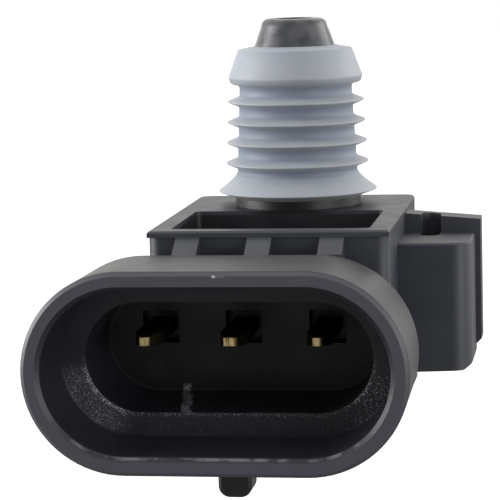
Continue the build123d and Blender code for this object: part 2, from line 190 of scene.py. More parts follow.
@dataclass(frozen=True)
class Finish:
    """One finish of the sensor, with its colours and the real size of its grain, in millimetres.

    The gloss patches are a share of the mottle's size and the broad grain is a multiple of the fine one.
    A dust speck's core and edge are shares of a dust cell.
    """

    name: str
    colour: str
    worn_colour: str
    roughness: float
    roughness_spread: float = 0.06
    metallic: float = 0.0
    ior: float = 1.5
    grain_mm: float = 0.12
    grain_depth: float = 0.02
    mottle_mm: float = 3.0
    pattern: Pattern = Pattern.PLAIN
    dust: float = 0.0
    transmission: float = 0.0
    sheen: float = 0.0
    subsurface: float = 0.0
    subsurface_mm: float = 0.6
    tone_span: Span = (0.35, 0.7)
    gloss_span: Span = (0.3, 0.7)
    gloss_patch: float = 0.4
    broad_grain: float = 12.0
    broad_height: float = 1.6
    stamped_scale: Triple = (1.0, 0.08, 1.0)
    dust_cell_mm: float = 0.75
    speck_core: float = 0.05
    speck_edge: float = 0.11
    dust_fade: float = 0.7
    dust_share: float = 0.5
    dust_colour: str = "#8f9295"

    def material(self) -> bpy.types.Material:
        """Build the finish as a material, once, and return it.

        Returns:
            The material that carries this finish.
        """
        found = bpy.data.materials.get(self.name)
        if found is not None:
            return found
        made = bpy.data.materials.new(self.name)
        made.use_nodes = True
        tree = made.node_tree
        tree.nodes.clear()
        place = add_node(tree, "ShaderNodeTexCoord").outputs["Object"]
        shader = self._shader(tree)
        tree.links.new(self._colour(tree, place), shader.inputs["Base Color"])
        tree.links.new(self._roughness(tree, place), shader.inputs["Roughness"])
        tree.links.new(self._relief(tree, place), shader.inputs["Normal"])
        add_node(tree, "ShaderNodeOutputMaterial", links={"Surface": shader.outputs["BSDF"]})
        return made

    def _shader(self, tree: bpy.types.NodeTree) -> bpy.types.Node:
        """Add the shader with all that is the same over the whole surface.

        Args:
            tree: The material's node tree.

        Returns:
            The shader's node.
        """
        settings: dict[str, object] = {
            "Metallic": self.metallic,
            "IOR": self.ior,
            "Transmission Weight": self.transmission,
            "Sheen Weight": self.sheen,
            "Subsurface Weight": self.subsurface,
        }
        if self.subsurface > 0:
            settings["Subsurface Scale"] = self.subsurface_mm * MM
        return add_node(tree, "ShaderNodeBsdfPrincipled", settings)

    def _colour(self, tree: bpy.types.NodeTree, place: bpy.types.NodeSocket) -> bpy.types.NodeSocket:
        """Blend the base colour, its cloudy variation and any dust.

        Args:
            tree: The material's node tree.
            place: Object coordinates.

        Returns:
            The colour.
        """
        cloud = add_node(
            tree, "ShaderNodeTexNoise", {"Scale": grain(self.mottle_mm), "Detail": 4.0}, {"Vector": place}
        ).outputs["Fac"]
        start, full = self.tone_span
        share = add_node(tree, "ShaderNodeMapRange", {1: start, 2: full}, {0: cloud}).outputs[0]
        tones = {"data_type": "RGBA", 6: linear(self.colour), 7: linear(self.worn_colour)}
        colour = add_node(tree, "ShaderNodeMix", tones, {0: share}).outputs[2]
        if self.dust > 0:
            colour = layered(tree, colour, [(self._dust(tree, place), self.dust_colour)])
        return colour

    def _dust(self, tree: bpy.types.NodeTree, place: bpy.types.NodeSocket) -> bpy.types.NodeSocket:
        """Scatter a few pale specks of dust over the whole piece.

        Args:
            tree: The material's node tree.
            place: Object coordinates.

        Returns:
            The specks' share, from 0 to 1.
        """
        cells = add_node(
            tree, "ShaderNodeTexVoronoi", {"Scale": grain(self.dust_cell_mm)}, {"Vector": place}
        ).outputs
        speck = add_node(
            tree, "ShaderNodeMapRange", {1: self.speck_core, 2: self.speck_edge, 3: 1.0, 4: 0.0},
            {0: cells["Distance"]},
        ).outputs[0]
        rare = add_node(
            tree, "ShaderNodeMapRange",
            {1: 1.0 - self.dust, 2: 1.0 - self.dust * self.dust_fade, 4: self.dust_share},
            {0: cells["Color"]},
        ).outputs[0]
        return product(tree, [speck, rare])

    def _roughness(self, tree: bpy.types.NodeTree, place: bpy.types.NodeSocket) -> bpy.types.NodeSocket:
        """Vary the gloss in patches, as handling and the mould leave it.

        Args:
            tree: The material's node tree.
            place: Object coordinates.

        Returns:
            The roughness.
        """
        cloud = add_node(
            tree, "ShaderNodeTexNoise", {"Scale": grain(self.mottle_mm * self.gloss_patch), "Detail": 6.0},
            {"Vector": place},
        ).outputs["Fac"]
        start, full = self.gloss_span
        low, high = self.roughness - self.roughness_spread, self.roughness + self.roughness_spread
        ramp = {1: start, 2: full, 3: low, 4: high}
        return add_node(tree, "ShaderNodeMapRange", ramp, {0: cloud}).outputs[0]

    def _relief(self, tree: bpy.types.NodeTree, place: bpy.types.NodeSocket) -> bpy.types.NodeSocket:
        """Raise the fine grain that the mould, the press or the cure leaves.

        Args:
            tree: The material's node tree.
            place: Object coordinates.

        Returns:
            The surface's normal.
        """
        if self.pattern is Pattern.STAMPED:
            place = add_node(
                tree, "ShaderNodeMapping", {"Scale": self.stamped_scale}, {"Vector": place}
            ).outputs["Vector"]
        height = add_node(
            tree, "ShaderNodeTexNoise", {"Scale": grain(self.grain_mm), "Detail": 3.0}, {"Vector": place}
        ).outputs["Fac"]
        if self.pattern in (Pattern.MOULDED, Pattern.ELASTIC):
            broad = add_node(
                tree, "ShaderNodeTexNoise", {"Scale": grain(self.grain_mm * self.broad_grain), "Detail": 2.0},
                {"Vector": place},
            ).outputs["Fac"]
            raised = add_node(
                tree, "ShaderNodeMath", {"operation": "MULTIPLY", 1: self.broad_height}, {0: broad}
            ).outputs[0]
            height = add_node(tree, "ShaderNodeMath", {"operation": "ADD"}, {0: height, 1: raised}).outputs[0]
        return add_node(
            tree, "ShaderNodeBump", {"Strength": 1.0, "Distance": self.grain_depth * MM}, {"Height": height}
        ).outputs["Normal"]


@dataclass(frozen=True)
class Surface:
    """Where a sample lies on the housing, as sockets of the material's node tree."""

    tree: bpy.types.NodeTree
    place: bpy.types.NodeSocket
    axes: bpy.types.bpy_prop_collection
    reach: bpy.types.NodeSocket


@dataclass(frozen=True)
class Zone:
    """A part of the housing's surface, between windows that all have to hold.

    Depth counts from the plug's mouth, and reach from the core line of the shroud, whose outline is a
    rounded bar. Side and height are X and Z.
    """

    depth: Window | None = None
    reach: Window | None = None
    side: Window | None = None
    height: Window | None = None


# Depths of the mouth's face, and reaches inside the bore and over the shroud's outer skin
MOUTH: Window = (-1.0, -0.5, 0.2, 0.32)
INSIDE_BORE: Window = (-1.0, -0.5, 5.03, 5.13)
OUTER_SKIN: Window = (5.78, 5.93, 9.0, 9.5)


@dataclass(frozen=True)
class HousingFinish(Finish):
    """The housing's plastic: a paler bloom outside, painted shade that turns the socket deep black, and the
    dust in its mouth.

    The dust lies densest in the middle of its three drifts, in the order left, right and inner edge.
    """

    mouth_y: float = -23.6
    core_middle: Triple = (-2.0, 0.0, -7.2)
    core_half: float = 5.4
    # Painted shade: the bore, the mouth's inner bevel and, deeper in, the socket are darkened
    bore: Zone = Zone(depth=(0.2, 0.7, 11.8, 11.9), reach=INSIDE_BORE)
    socket_shade: Zone = Zone(depth=(5.7, 6.8, 14.0, 14.5), reach=(-1.0, -0.5, 3.15, 3.25))
    # Painted shade in the top recess in front of the port
    shaded_recess: Zone = Zone(
        depth=(10.1, 10.2, 19.4, 19.5), side=(-6.35, -6.25, 6.25, 6.35), height=(-2.7, -2.6, -0.3, -0.2)
    )
    # Painted sheen: a paler tone over the shroud's outer skin stands in for its grazing reflection
    collar: Zone = Zone(depth=(0.2, 0.5, 7.2, 7.7), reach=OUTER_SKIN)
    # Painted shade on the boss and the plate under the seal's skirt
    skirt_shade: Zone = Zone(height=(-0.3, -0.2, 0.9, 1.0))
    skirt_radii: Window = (-1.0, -0.5, 4.4, 5.4)
    # Painted shade on the lock nib, which sits under the shroud
    shaded_nib: Zone = Zone(depth=(4.6, 4.8, 12.0, 12.5), height=(-20.0, -19.0, -13.4, -13.3))
    rim: Zone = Zone(depth=MOUTH, reach=(5.11, 5.21, 9.0, 9.5))
    # The mouth's inner bevel takes the bore's painted shade
    bevel: Zone = Zone(depth=MOUTH, reach=(4.83, 4.93, 5.11, 5.21))
    seam: Zone = Zone(depth=(0.2, 0.26, 0.34, 0.42), reach=OUTER_SKIN)
    # Painted highlight along the mouth's low inner edge, broken into specks
    lip_highlight: Zone = Zone(depth=MOUTH, reach=(4.73, 4.88, 5.03, 5.13), height=(-14.0, -13.5, -11.6, -10.6))
    lip_highlight_specks: Specks = (0.9, 0.42, 0.6)
    low_ledge: Zone = Zone(depth=(5.1, 5.3, 5.65, 5.85), reach=INSIDE_BORE, height=(-14.0, -13.5, -8.4, -6.8))
    left_drift: Zone = Zone(
        depth=(2.6, 4.6, 6.6, 8.6), side=(-13.6, -11.6, -9.4, -7.4), height=(-13.0, -11.0, -8.6, -6.6)
    )
    right_drift: Zone = Zone(
        depth=(2.4, 4.6, 6.6, 8.8), side=(4.4, 6.6, 8.6, 10.8), height=(-13.2, -11.0, -9.0, -6.8)
    )
    inner_edge: Zone = Zone(reach=(3.1, 3.3, 3.54, 3.72))
    drift_density: Triple = (0.11, 0.1, 0.09)
    dust_specks: Specks = (0.068, 0.68, 0.82)
    smear: Zone = Zone(
        depth=(5.6, 5.65, 12.2, 12.4), reach=(-1.0, -0.5, 3.5, 3.52), height=(-11.5, -11.2, -10.25, -9.95)
    )
    smear_line: Window = (-7.6, -7.42, -7.1, -6.92)
    smear_slope: float = 0.17
    smear_wave: float = 0.9
    smear_wave_mm: float = 1.7
    smear_specks: Specks = (0.1, 0.44, 0.6)
    trail: Zone = Zone(
        depth=(-0.15, -0.1, 0.22, 0.27), side=(-1.67, -1.62, -1.1, -1.05), height=(-1.51, -1.46, -1.44, -1.39)
    )
    nick: Zone = Zone(
        depth=(-0.19, -0.1, 0.22, 0.31), side=(-1.89, -1.8, -1.7, -1.61), height=(-1.54, -1.45, -1.41, -1.32)
    )
    scratch: Zone = Zone(depth=(0.15, 0.3, 1.3, 1.6), side=(8.8, 8.9, 12.0, 12.5))
    scratch_line: Window = (12.26, 12.31, 12.39, 12.44)
    scratch_slope: float = -0.84
    # A faint paler round spot on the socket's end wall
    spot_middle: Triple = (-7.75, -11.7, -9.15)
    spot_radii: Window = (-1.0, -0.5, 0.55, 0.9)
    nose: Zone = Zone(height=(10.35, 10.55, 20.0, 21.0))
    # Painted mottled reflections on the nose
    nose_reflection_specks: Specks = (1.2, 0.42, 0.62)
    nose_smear_mm: float = 1.3
    nose_smear_bend: float = 0.8
    nose_smear_span: Span = (0.4, 0.6)
    nose_roughness: Span = (0.16, 0.36)
    # Colour of the painted shade in the socket, under the skirt and on the nib, and of the collar's real
    # scratch
    shade_and_scratch_colour: str = "#0b0b0d"
    # Colour of the painted shade in the bore and on the mouth's inner bevel
    bore_shade_colour: str = "#1c1e26"
    rim_colour: str = "#3f4049"
    # Colour of the painted sheen on the collar
    collar_sheen_colour: str = "#36373a"
    seam_colour: str = "#17171a"
    # Colour of the painted shade in the recess
    recess_shade_colour: str = "#17191d"
    haze_colour: str = "#33343d"
    speck_colour: str = "#a9a9b4"
    bright_speck_colour: str = "#bdbdc8"
    # Colour of the painted highlight on the mouth's low inner edge, and of the nick's trail
    highlight_and_trail_colour: str = "#5f6066"
    spot_colour: str = "#1a1b1f"
    # Colour of the painted reflections on the nose
    nose_reflection_colour: str = "#494a4f"

    def _surface(self, tree: bpy.types.NodeTree, place: bpy.types.NodeSocket) -> Surface:
        """Work out each place's axes and its distance from the shroud's core line.

        Args:
            tree: The material's node tree.
            place: Object coordinates.

        Returns:
            Where a sample lies.
        """
        moved = place
        for settings in (
            {"operation": "SUBTRACT", 1: tuple(c * MM for c in self.core_middle)},
            {"operation": "ABSOLUTE"},
            {"operation": "SUBTRACT", 1: (self.core_half * MM, 0.0, 0.0)},
            {"operation": "MAXIMUM", 1: (0.0, 0.0, 0.0)},
            {"operation": "MULTIPLY", 1: (1.0, 0.0, 1.0)},
        ):
            moved = add_node(tree, "ShaderNodeVectorMath", settings, {0: moved}).outputs[0]
        reach = add_node(tree, "ShaderNodeVectorMath", {"operation": "LENGTH"}, {0: moved}).outputs["Value"]
        return Surface(tree, place, add_node(tree, "ShaderNodeSeparateXYZ", links={0: place}).outputs, reach)

    def _window(
        self, tree: bpy.types.NodeTree, value: bpy.types.NodeSocket, window: Window
    ) -> bpy.types.NodeSocket:
        """Give 1 where a value lies in a window and fall softly to 0 outside it.

        Args:
            tree: The material's node tree.
            value: The value, in metres.
            window: The window.

        Returns:
            The share, from 0 to 1.
        """
        start, full, fading, gone = (edge * MM for edge in window)
        rise = {1: start, 2: full, "interpolation_type": "SMOOTHSTEP"}
        fall = {1: fading, 2: gone, 3: 1.0, 4: 0.0, "interpolation_type": "SMOOTHSTEP"}
        both = [add_node(tree, "ShaderNodeMapRange", ramp, {0: value}).outputs[0] for ramp in (rise, fall)]
        return product(tree, both)

    def _share(self, at: Surface, zone: Zone) -> bpy.types.NodeSocket:
        """Give 1 inside a zone and fall softly to 0 outside it.

        Args:
            at: Where the sample lies.
            zone: The zone.

        Returns:
            The share, from 0 to 1.
        """
        depth = None if zone.depth is None else tuple(self.mouth_y + edge for edge in zone.depth)
        sides = (
            (at.axes["X"], zone.side),
            (at.axes["Y"], depth),
            (at.axes["Z"], zone.height),
            (at.reach, zone.reach),
        )
        return product(
            at.tree, [self._window(at.tree, value, window) for value, window in sides if window is not None]
        )

    def _specks(
        self, at: Surface, specks: Specks, drifts: tuple[tuple[bpy.types.NodeSocket, float], ...] = ()
    ) -> bpy.types.NodeSocket:
        """Give grains of one size, which lie denser where they have drifted.

        Args:
            at: Where the sample lies.
            specks: The grains' size and their noise values.
            drifts: Each drift's share and how much denser it is in its middle.

        Returns:
            The share, from 0 to 1.
        """
        size_mm, start, full = specks
        dense = add_node(
            at.tree, "ShaderNodeTexNoise", {"Scale": grain(size_mm), "Detail": 2.0}, {"Vector": at.place}
        ).outputs["Fac"]
        for share, more in drifts:
            dense = add_node(
                at.tree, "ShaderNodeMath", {"operation": "MULTIPLY_ADD", 1: more}, {0: share, 2: dense}
            ).outputs[0]
        return add_node(at.tree, "ShaderNodeMapRange", {1: start, 2: full}, {0: dense}).outputs[0]

    def _colour(self, tree: bpy.types.NodeTree, place: bpy.types.NodeSocket) -> bpy.types.NodeSocket:
        """Lay the housing's tones (most of them painted shade, sheen or highlight), its dust and its marks
        (with the nose's painted reflections) over the bloom, in that order.

        Args:
            tree: The material's node tree.
            place: Object coordinates.

        Returns:
            The colour.
        """
        colour = super()._colour(tree, place)
        at = self._surface(tree, place)
        return layered(tree, colour, self._tones(at) + self._dusty(at) + self._marks(at))

    def _tones(self, at: Surface) -> Layers:
        """List the tones of the socket, the outside and the rim: painted shade in the socket, recess, skirt
        and nib, the collar's painted sheen and the lip's painted highlight.

        Args:
            at: Where the sample lies.

        Returns:
            The layers, lowest first.
        """
        # Painted highlight on the mouth's low inner edge, broken into specks
        lip_highlight_share = product(at.tree, [self._share(at, self.lip_highlight), self._specks(at, self.lip_highlight_specks)])
        return [
            # Painted shade in the bore and, deeper in, the socket
            (self._share(at, self.bore), self.bore_shade_colour),
            (self._share(at, self.socket_shade), self.shade_and_scratch_colour),
            # A faint paler round spot on the socket's end wall
            (self._pale_end_wall_spot(at), self.spot_colour),
            # Painted shade in the top recess
            (self._share(at, self.shaded_recess), self.recess_shade_colour),
            # Painted sheen on the collar
            (self._share(at, self.collar), self.collar_sheen_colour),
            # Painted shade under the seal's skirt
            (self._painted_skirt_shade(at), self.shade_and_scratch_colour),
            # Painted shade on the nib
            (self._share(at, self.shaded_nib), self.shade_and_scratch_colour),
            (self._share(at, self.rim), self.rim_colour),
            # The mouth's inner bevel takes the bore's painted shade
            (self._share(at, self.bevel), self.bore_shade_colour),
            (self._share(at, self.seam), self.seam_colour),
            # Painted highlight on the lip
            (lip_highlight_share, self.highlight_and_trail_colour),
        ]

    def _dusty(self, at: Surface) -> Layers:
        """List the haze and the dust on the low half of the ledge, and the smear behind it.

        Args:
            at: Where the sample lies.

        Returns:
            The layers, lowest first.
        """
        low_ledge = self._share(at, self.low_ledge)
        drifts = [self._share(at, zone) for zone in (self.left_drift, self.right_drift, self.inner_edge)]
        dust = self._specks(at, self.dust_specks, tuple(zip(drifts, self.drift_density)))
        return [
            (product(at.tree, [drifts[0], low_ledge]), self.haze_colour),
            (product(at.tree, [dust, low_ledge]), self.bright_speck_colour),
            (self._smear(at), self.bright_speck_colour),
        ]

    def _marks(self, at: Surface) -> Layers:
        """List the rim's nick and its trail, the collar's scratch and the painted mottled reflections on the
        nose.

        Args:
            at: Where the sample lies.

        Returns:
            The layers, lowest first.
        """
        # Painted mottled reflections on the nose
        nose_reflections = product(at.tree, [self._share(at, self.nose), self._specks(at, self.nose_reflection_specks)])
        return [
            (self._share(at, self.trail), self.highlight_and_trail_colour),
            (self._share(at, self.nick), self.speck_colour),
            (self._scratch(at), self.shade_and_scratch_colour),
            (nose_reflections, self.nose_reflection_colour),
        ]

    def _smear(self, at: Surface) -> bpy.types.NodeSocket:
        """Give the grainy smear of grease and dust on the socket's low wall, along a wavy slanting line.

        Args:
            at: Where the sample lies.

        Returns:
            The share, from 0 to 1.
        """
        slanted = add_node(
            at.tree, "ShaderNodeMath", {"operation": "MULTIPLY_ADD", 1: self.smear_slope},
            {0: at.axes["Y"], 2: at.axes["X"]},
        ).outputs[0]
        cloud = add_node(
            at.tree, "ShaderNodeTexNoise", {"Scale": grain(self.smear_wave_mm), "Detail": 1.0},
            {"Vector": at.place},
        ).outputs["Fac"]
        wavy = add_node(
            at.tree, "ShaderNodeMath", {"operation": "MULTIPLY_ADD", 1: self.smear_wave * MM},
            {0: cloud, 2: slanted},
        ).outputs[0]
        line = self._window(at.tree, wavy, self.smear_line)
        return product(at.tree, [line, self._share(at, self.smear), self._specks(at, self.smear_specks)])

    def _scratch(self, at: Surface) -> bpy.types.NodeSocket:
        """Give the dark slanting scratch on the collar's right end.

        Args:
            at: Where the sample lies.

        Returns:
            The share, from 0 to 1.
        """
        slanted = add_node(
            at.tree, "ShaderNodeMath", {"operation": "MULTIPLY_ADD", 1: self.scratch_slope},
            {0: at.axes["Y"], 2: at.axes["Z"]},
        ).outputs[0]
        line = self._window(at.tree, slanted, self.scratch_line)
        return product(at.tree, [line, self._share(at, self.scratch)])

    def _pale_end_wall_spot(self, at: Surface) -> bpy.types.NodeSocket:
        """Give the faint paler round spot on the socket's end wall.

        Args:
            at: Where the sample lies.

        Returns:
            The share, from 0 to 1.
        """
        middle = {"operation": "DISTANCE", 1: tuple(c * MM for c in self.spot_middle)}
        away = add_node(at.tree, "ShaderNodeVectorMath", middle, {0: at.place}).outputs["Value"]
        return self._window(at.tree, away, self.spot_radii)

    def _painted_skirt_shade(self, at: Surface) -> bpy.types.NodeSocket:
        """Give the painted shade on the boss and the plate under the seal's skirt."""
        ring = self._window(at.tree, axis_distance(at.tree, at.place), self.skirt_radii)
        return product(at.tree, [ring, self._share(at, self.skirt_shade)])

    def _roughness(self, tree: bpy.types.NodeTree, place: bpy.types.NodeSocket) -> bpy.types.NodeSocket:
        """Vary the gloss, with the nose polished and streaked by handling.

        Args:
            tree: The material's node tree.
            place: Object coordinates.

        Returns:
            The roughness.
        """
        plain = super()._roughness(tree, place)
        height = add_node(tree, "ShaderNodeSeparateXYZ", links={0: place}).outputs["Z"]
        nose = self._window(tree, height, self.nose.height)
        smears = add_node(
            tree, "ShaderNodeTexNoise",
            {"Scale": grain(self.nose_smear_mm), "Detail": 1.0, "Distortion": self.nose_smear_bend},
            {"Vector": place},
        ).outputs["Fac"]
        (start, full), (low, high) = self.nose_smear_span, self.nose_roughness
        ramp = {1: start, 2: full, 3: low, 4: high}
        gloss = add_node(tree, "ShaderNodeMapRange", ramp, {0: smears}).outputs[0]
        sources = {0: nose, 2: plain, 3: gloss}
        return add_node(tree, "ShaderNodeMix", {"data_type": "FLOAT"}, sources).outputs[0]


@dataclass(frozen=True)
class BladeFinish(Finish):
    """The blades' plated brass: painted shade towards the root, bare and bright where the tip was sheared."""

    tip_y: float = -17.2
    tip_shown: float = 0.12
    tip_colour: str = "#efdba8"
    # Where the painted shade on the blade, deep in the socket, starts and is full
    shaded_from: float = -16.2
    shaded_to: float = -13.8
    shaded_colour: str = "#2b2823"
    streak_mm: float = 0.2
    streak_scale: Triple = (1.0, 1.0, 0.15)
    streak_span: Span = (0.5, 0.62)
    streak_colour: str = "#94713a"

    def _colour(self, tree: bpy.types.NodeTree, place: bpy.types.NodeSocket) -> bpy.types.NodeSocket:
        """Blend the dull plating with painted shade towards the root, and the bright tip, streaked along its
        shear.

        Args:
            tree: The material's node tree.
            place: Object coordinates.

        Returns:
            The colour.
        """
        along = add_node(tree, "ShaderNodeSeparateXYZ", links={0: place}).outputs["Y"]
        bare, plated = self.tip_y + self.tip_shown, self.tip_y + 2 * self.tip_shown
        tip = add_node(
            tree, "ShaderNodeMapRange", {1: bare * MM, 2: plated * MM, 3: 1.0, 4: 0.0}, {0: along}
        ).outputs[0]
        # Painted shade: the blade darkens towards its root, deep in the socket
        root = add_node(
            tree, "ShaderNodeMapRange", {1: self.shaded_from * MM, 2: self.shaded_to * MM}, {0: along}
        ).outputs[0]
        upright = add_node(
            tree, "ShaderNodeMapping", {"Scale": self.streak_scale}, {"Vector": place}
        ).outputs["Vector"]
        cloud = add_node(
            tree, "ShaderNodeTexNoise", {"Scale": grain(self.streak_mm), "Detail": 1.0}, {"Vector": upright}
        ).outputs["Fac"]
        start, full = self.streak_span
        streak = add_node(tree, "ShaderNodeMapRange", {1: start, 2: full}, {0: cloud}).outputs[0]
        return layered(tree, super()._colour(tree, place), [
            # Painted shade towards the root
            (root, self.shaded_colour),
            (tip, self.tip_colour),
            (product(tree, [tip, streak]), self.streak_colour),
        ])


@dataclass(frozen=True)
class SleeveFinish(Finish):
    """The sleeve's silicone, with painted light in its thin ribs for the light they let through, and painted
    shade in its grooves. Sizes are in millimetres.

    Pale and groove say how far proud of the core each tone starts and ends.
    """

    core_radius: float = 4.14
    core_slope: float = -0.051
    # Painted light on the thin ribs, for the light they let through
    pale: Span = (0.05, 0.52)
    rib_light_share: float = 0.75
    # Painted shade in the grooves between the ribs, below the band
    groove_shade: Span = (0.02, 0.12)
    groove_shade_share: float = 0.8
    groove_shade_heights: Span = (8.2, 8.4)
    # Colour of the painted light in the thin ribs
    painted_rib_light_colour: str = "#9a9fa7"
    # Colour of the painted shade in the grooves
    shaded_colour: str = "#727a8a"

    def _colour(self, tree: bpy.types.NodeTree, place: bpy.types.NodeSocket) -> bpy.types.NodeSocket:
        """Blend the thick core's colour with painted light on the thin ribs, and darken the grooves with
        painted shade.

        Args:
            tree: The material's node tree.
            place: Object coordinates.

        Returns:
            The colour.
        """
        height = add_node(tree, "ShaderNodeSeparateXYZ", links={0: place}).outputs["Z"]
        widening = {"operation": "MULTIPLY_ADD", 1: self.core_slope, 2: self.core_radius * MM}
        core = add_node(tree, "ShaderNodeMath", widening, {0: height}).outputs[0]
        proud = add_node(
            tree, "ShaderNodeMath", {"operation": "SUBTRACT"}, {0: axis_distance(tree, place), 1: core}
        ).outputs[0]
        ramps = (
            (proud, self.pale, {4: self.rib_light_share}),
            (proud, self.groove_shade, {3: self.groove_shade_share, 4: 0.0}),
            (height, self.groove_shade_heights, {3: 1.0, 4: 0.0}),
        )
        thin, groove_shade, below_band = (
            add_node(tree, "ShaderNodeMapRange", {1: low * MM, 2: high * MM, **shares}, {0: value}).outputs[0]
            for value, (low, high), shares in ramps
        )
        return layered(tree, super()._colour(tree, place), [
            # Painted light in the thin ribs
            (thin, self.painted_rib_light_colour),
            # Painted shade in the grooves
            (product(tree, [groove_shade, below_band]), self.shaded_colour),
        ])


@dataclass(frozen=True)
class Finishes:
    """Every finish on the sensor, each named for what the real one is made of."""

    # Black glass-filled PBT from a spark-eroded mould: dull in front, pale where it mirrors the backdrop
    housing: Finish = HousingFinish(
        "moulded_black_pbt", "#2d3039", "#34373f", 0.45, 0.05, grain_mm=0.09, grain_depth=0.006,
        mottle_mm=5.0, pattern=Pattern.MOULDED, dust=0.12,
    )
    # The same PBT from a smoother mould
    lid: Finish = Finish(
        "moulded_black_pbt_lid", "#2a2b30", "#2f3035", 0.42, 0.05, grain_mm=0.12, grain_depth=0.005,
        pattern=Pattern.MOULDED, dust=0.03,
    )
    # Blue-grey fluorosilicone with a dry satin skin and a little bloom
    seal: Finish = SleeveFinish(
        "moulded_grey_silicone", "#88909c", "#929aa6", 0.5, 0.06, ior=1.42, grain_mm=0.15, grain_depth=0.006,
        mottle_mm=4.0, pattern=Pattern.ELASTIC, sheen=0.15, subsurface=0.12,
    )
    # Cured one-part sealant, black with a soft gloss
    sealant: Finish = Finish(
        "cured_black_sealant", "#151516", "#1d1d1e", 0.35, 0.08, ior=1.45, grain_mm=0.5, grain_depth=0.03,
        pattern=Pattern.ELASTIC,
    )
    # Stamped brass with a thin dulled tin flash, drawn along the blade
    terminal: Finish = BladeFinish(
        "stamped_tinned_brass", "#4c4435", "#5a503f", 0.5, 0.08, metallic=1.0, grain_mm=0.05,
        grain_depth=0.004, mottle_mm=1.5, pattern=Pattern.STAMPED,
    )
    # Green solder mask over glass laminate, with the weave just showing
    board: Finish = Finish(
        "solder_mask_laminate", "#124a2c", "#185737", 0.3, 0.05, grain_mm=0.4, grain_depth=0.01,
    )
    # Clear silicone adhesive, milky once cured
    adhesive: Finish = Finish(
        "cured_milky_silicone", "#c4c3bb", "#d2d1ca", 0.4, 0.08, ior=1.41, grain_mm=0.6, grain_depth=0.03,
        pattern=Pattern.ELASTIC, subsurface=0.3,
    )
    # Dark PPS dam ring
    cell: Finish = Finish(
        "moulded_dark_pps", "#3a3632", "#433e39", 0.42, 0.05, grain_mm=0.1, grain_depth=0.006,
    )
    # Polished silicon with its grey-violet shine
    silicon: Finish = Finish(
        "polished_silicon", "#6b6e79", "#70737f", 0.12, 0.03, metallic=1.0, grain_depth=0.0005,
    )
    # Soft clear gel
    gel: Finish = Finish(
        "clear_silicone_gel", "#eef0ee", "#f2f3f0", 0.05, 0.02, ior=1.41, grain_mm=1.0, grain_depth=0.01,
        transmission=0.95,
    )
    # Drawn gold wire
    wire: Finish = Finish(
        "drawn_gold_wire", "#d9b25c", "#e0bc6c", 0.25, 0.05, metallic=1.0, grain_depth=0.001,
    )
    # Transfer-moulded epoxy, faintly speckled with silica
    chip: Finish = Finish("moulded_epoxy", "#1f1f21", "#29292b", 0.5, 0.06, grain_mm=0.06, grain_depth=0.006)
    # Reflowed tin, bright with soft ripples
    tin: Finish = Finish(
        "reflowed_tin", "#b9bbbf", "#a9abb0", 0.25, 0.08, metallic=1.0, grain_mm=0.2, grain_depth=0.01,
    )
    # Fired tan ceramic
    capacitor: Finish = Finish(
        "fired_tan_ceramic", "#8d7258", "#9a7f63", 0.45, 0.05, grain_mm=0.05, grain_depth=0.003,
    )
    # Glazed black ceramic
    resistor: Finish = Finish("glazed_black_ceramic", "#202125", "#26272b", 0.25, 0.05, grain_depth=0.002)
    # White expanded PTFE film
    membrane: Finish = Finish(
        "expanded_ptfe_film", "#e4e4e0", "#ececea", 0.8, 0.05, ior=1.35, grain_mm=0.08, grain_depth=0.01,
        subsurface=0.2,
    )


def pick_nothing() -> None:
    """Go back to object mode and deselect every object."""
    if bpy.context.object is not None and bpy.context.object.mode != "OBJECT":
        bpy.ops.object.mode_set(mode="OBJECT")
    bpy.ops.object.select_all(action="DESELECT")


def pick_only(piece: bpy.types.Object) -> None:
    """Select one object and make it the active one.

    Args:
        piece: The object.
    """
    pick_nothing()
    piece.select_set(True)
    bpy.context.view_layer.objects.active = piece


def dress(piece: bpy.types.Object, finish: Finish) -> None:
    """Give a piece one finish all over."""
    piece.data.materials.clear()
    piece.data.materials.append(finish.material())


def apply_modifiers(piece: bpy.types.Object) -> None:
    """Apply every modifier of a piece, in order.

    Args:
        piece: The piece.
    """
    pick_only(piece)
    for modifier in list(piece.modifiers):
        bpy.ops.object.modifier_apply(modifier=modifier.name)


def copy_node(node: bpy.types.Object, name: str) -> bpy.types.Object:
    """Copy a CAD node's mesh into a new piece and merge its loose triangles.

    Args:
        node: The CAD node.
        name: Name of the new piece.

    Returns:
        The new piece, at the origin.
    """
    piece = bpy.data.objects.new(name, node.data.copy())
    bpy.context.scene.collection.objects.link(piece)
    pick_only(piece)
    if piece.data.has_custom_normals:
        bpy.ops.mesh.customdata_custom_splitnormals_clear()
    bpy.ops.object.mode_set(mode="EDIT")
    bpy.ops.mesh.select_all(action="SELECT")
    bpy.ops.mesh.remove_doubles(threshold=MERGE_DISTANCE)
    bpy.ops.object.mode_set(mode="OBJECT")
    return piece


@dataclass
class MouldedHousing:
    """The black housing, with its plug shroud, body, port tube and ear."""

    smooth_angle: float = 30.0
    flat_weight: int = 100
    finishes: Finishes = field(default_factory=Finishes)

    def build(self, frame: dict) -> list[bpy.types.Object]:
        """Build the housing's shown shape over the CAD node.


        Returns:
            The pieces, dressed and riding on the body.
        """
        shell = copy_node(frame["nodes"]["housing"], "moulded_housing")
        self._soften(shell)
        dress(shell, self.finishes.housing)
        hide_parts("housing")
        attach(shell, "root")
        return [shell]

    def _soften(self, shell: bpy.types.Object) -> None:
        """Shade the round faces smooth and keep the flat ones flat.

        Args:
            shell: The housing's piece.
        """
        pick_only(shell)
        bpy.ops.object.shade_smooth_by_angle(angle=math.radians(self.smooth_angle))
        weigh = shell.modifiers.new("flat_faces", "WEIGHTED_NORMAL")
        weigh.keep_sharp = True
        weigh.weight = self.flat_weight


